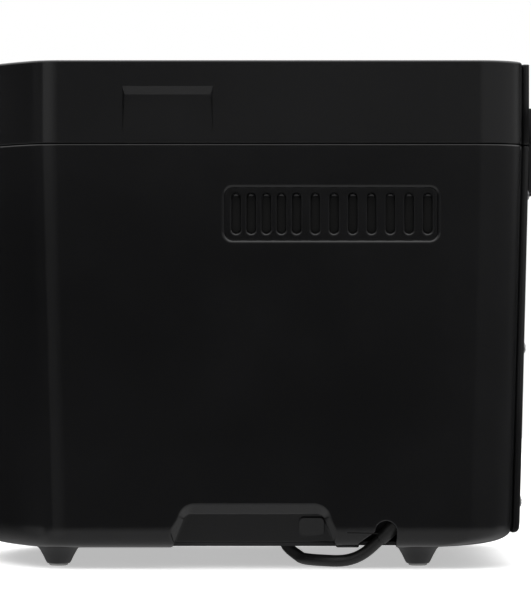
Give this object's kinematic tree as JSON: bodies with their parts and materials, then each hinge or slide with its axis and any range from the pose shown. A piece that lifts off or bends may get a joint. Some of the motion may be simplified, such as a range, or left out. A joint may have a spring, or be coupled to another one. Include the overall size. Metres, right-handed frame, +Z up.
{
  "type": "bread machine",
  "caption": "Gloss black domestic bread machine with a hinged full-size lid, side vents, grip recesses, oven chamber, lift-out pan and belt-driven kneading paddle",
  "frame": {"origin": "on the worktop, under the middle of the machine's own box, mains lead left out", "axes": "+X to the side with the mains lead's exit, +Y to the hinged rear, +Z up; the control panel faces -Y"},
  "size_m": [0.347, 0.3564, 0.3],
  "materials": {
    "gloss_black": "high gloss",
    "satin_black": "satin",
    "dark_plastic": "moulded",
    "tinted_glass": "polished, smoked",
    "bright_steel": "drawn",
    "sheet_steel": "galvanised sheet",
    "nonstick": "non-stick coated",
    "pale_rubber": "moulded",
    "silicone": "moulded silicone",
    "black_rubber": "satin",
    "circuit_board": "solder mask",
    "copper_windings": "enamelled copper",
    "display": "clear window over a dark display",
    "button_plastic": "semi-gloss"
  },
  "bodies": {
    "machine": {"outer_housing": "gloss_black", "vent_grille_right": "gloss_black", "vent_grille_left": "gloss_black", "rear_panel": "gloss_black", "control_fascia": "gloss_black", "base_plate": "satin_black", "top_deck": "satin_black", "foot_front_right": "satin_black", "foot_rear_right": "satin_black", "foot_front_left": "satin_black", "foot_rear_left": "satin_black", "hinge_bracket_right": "satin_black", "hinge_bracket_left": "satin_black", "foot_pad_front_right": "pale_rubber", "foot_pad_rear_right": "pale_rubber", "foot_pad_front_left": "pale_rubber", "foot_pad_rear_left": "pale_rubber", "oven_chamber": "sheet_steel", "chassis_plate": "sheet_steel", "motor_body": "sheet_steel", "heating_element": "bright_steel", "temperature_sensor": "bright_steel", "pan_bush": "bright_steel", "bearing_housing": "bright_steel", "motor_end_plate": "bright_steel", "hinge_pin_right": "bright_steel", "hinge_pin_left": "bright_steel", "bread_pan": "nonstick", "motor_capacitor": "dark_plastic", "coil_tie": "dark_plastic", "drive_belt": "black_rubber", "strain_relief": "black_rubber", "mains_lead": "black_rubber", "lead_coil": "black_rubber", "mains_plug": "black_rubber", "power_board": "circuit_board", "control_board": "circuit_board", "display_window": "display"},
    "lid": {"lid_shell": "gloss_black", "lid_rear_panel": "gloss_black", "lid_window": "tinted_glass", "lid_liner": "sheet_steel", "liner_frame": "dark_plastic", "liner_window": "tinted_glass", "lid_gasket": "silicone", "hinge_knuckle_right": "satin_black", "hinge_knuckle_left": "satin_black"},
    "handle": {"pan_handle": "bright_steel"},
    "drive": {"kneading_paddle": "nonstick", "pan_shaft": "bright_steel", "drive_coupling": "dark_plastic", "drive_shaft": "bright_steel", "large_pulley": "dark_plastic"},
    "motor": {"motor_rotor": "copper_windings", "motor_pulley": "dark_plastic"},
    "menu_key": {"button_menu": "button_plastic"},
    "loaf_size_key": {"button_loaf_size": "button_plastic"},
    "start_stop_key": {"button_start_stop": "button_plastic"},
    "time_minus_key": {"button_time_minus": "button_plastic"},
    "time_plus_key": {"button_time_plus": "button_plastic"}
  },
  "joints": [
    {"name": "lid_hinge", "type": "hinge", "parent": "machine", "child": "lid", "pos_m": [0, 0.17122, 0.251], "axis": [-1, 0, 0], "range_deg": [0, 88]},
    {"name": "pan_handle_swing", "type": "hinge", "parent": "machine", "child": "handle", "pos_m": [0, 0.03122, 0.226], "axis": [0, -1, 0], "range_deg": [0, 180]},
    {"name": "paddle_spin", "type": "hinge", "parent": "machine", "child": "drive", "pos_m": [0, 0.03122, 0.06], "axis": [0, 0, 1], "continuous": true},
    {"name": "motor_spin", "type": "hinge", "parent": "machine", "child": "motor", "pos_m": [0, -0.10578, 0.06], "axis": [0, 0, 1], "continuous": true},
    {"name": "menu_press", "type": "slide", "parent": "machine", "child": "menu_key", "axis": [0.2924, 0.9563, 0], "range_m": [0, 0.0015], "stiffness_N_per_m": 800},
    {"name": "loaf_size_press", "type": "slide", "parent": "machine", "child": "loaf_size_key", "axis": [0.1564, 0.9877, 0], "range_m": [0, 0.0015], "stiffness_N_per_m": 800},
    {"name": "start_stop_press", "type": "slide", "parent": "machine", "child": "start_stop_key", "axis": [0, 1, 0], "range_m": [0, 0.0015], "stiffness_N_per_m": 800},
    {"name": "time_minus_press", "type": "slide", "parent": "machine", "child": "time_minus_key", "axis": [-0.1564, 0.9877, 0], "range_m": [0, 0.0015], "stiffness_N_per_m": 800},
    {"name": "time_plus_press", "type": "slide", "parent": "machine", "child": "time_plus_key", "axis": [-0.2924, 0.9563, 0], "range_m": [0, 0.0015], "stiffness_N_per_m": 800}
  ],
  "couplings": [
    {"joint": "motor_spin", "follows": "paddle_spin", "ratio": 7}
  ]
}
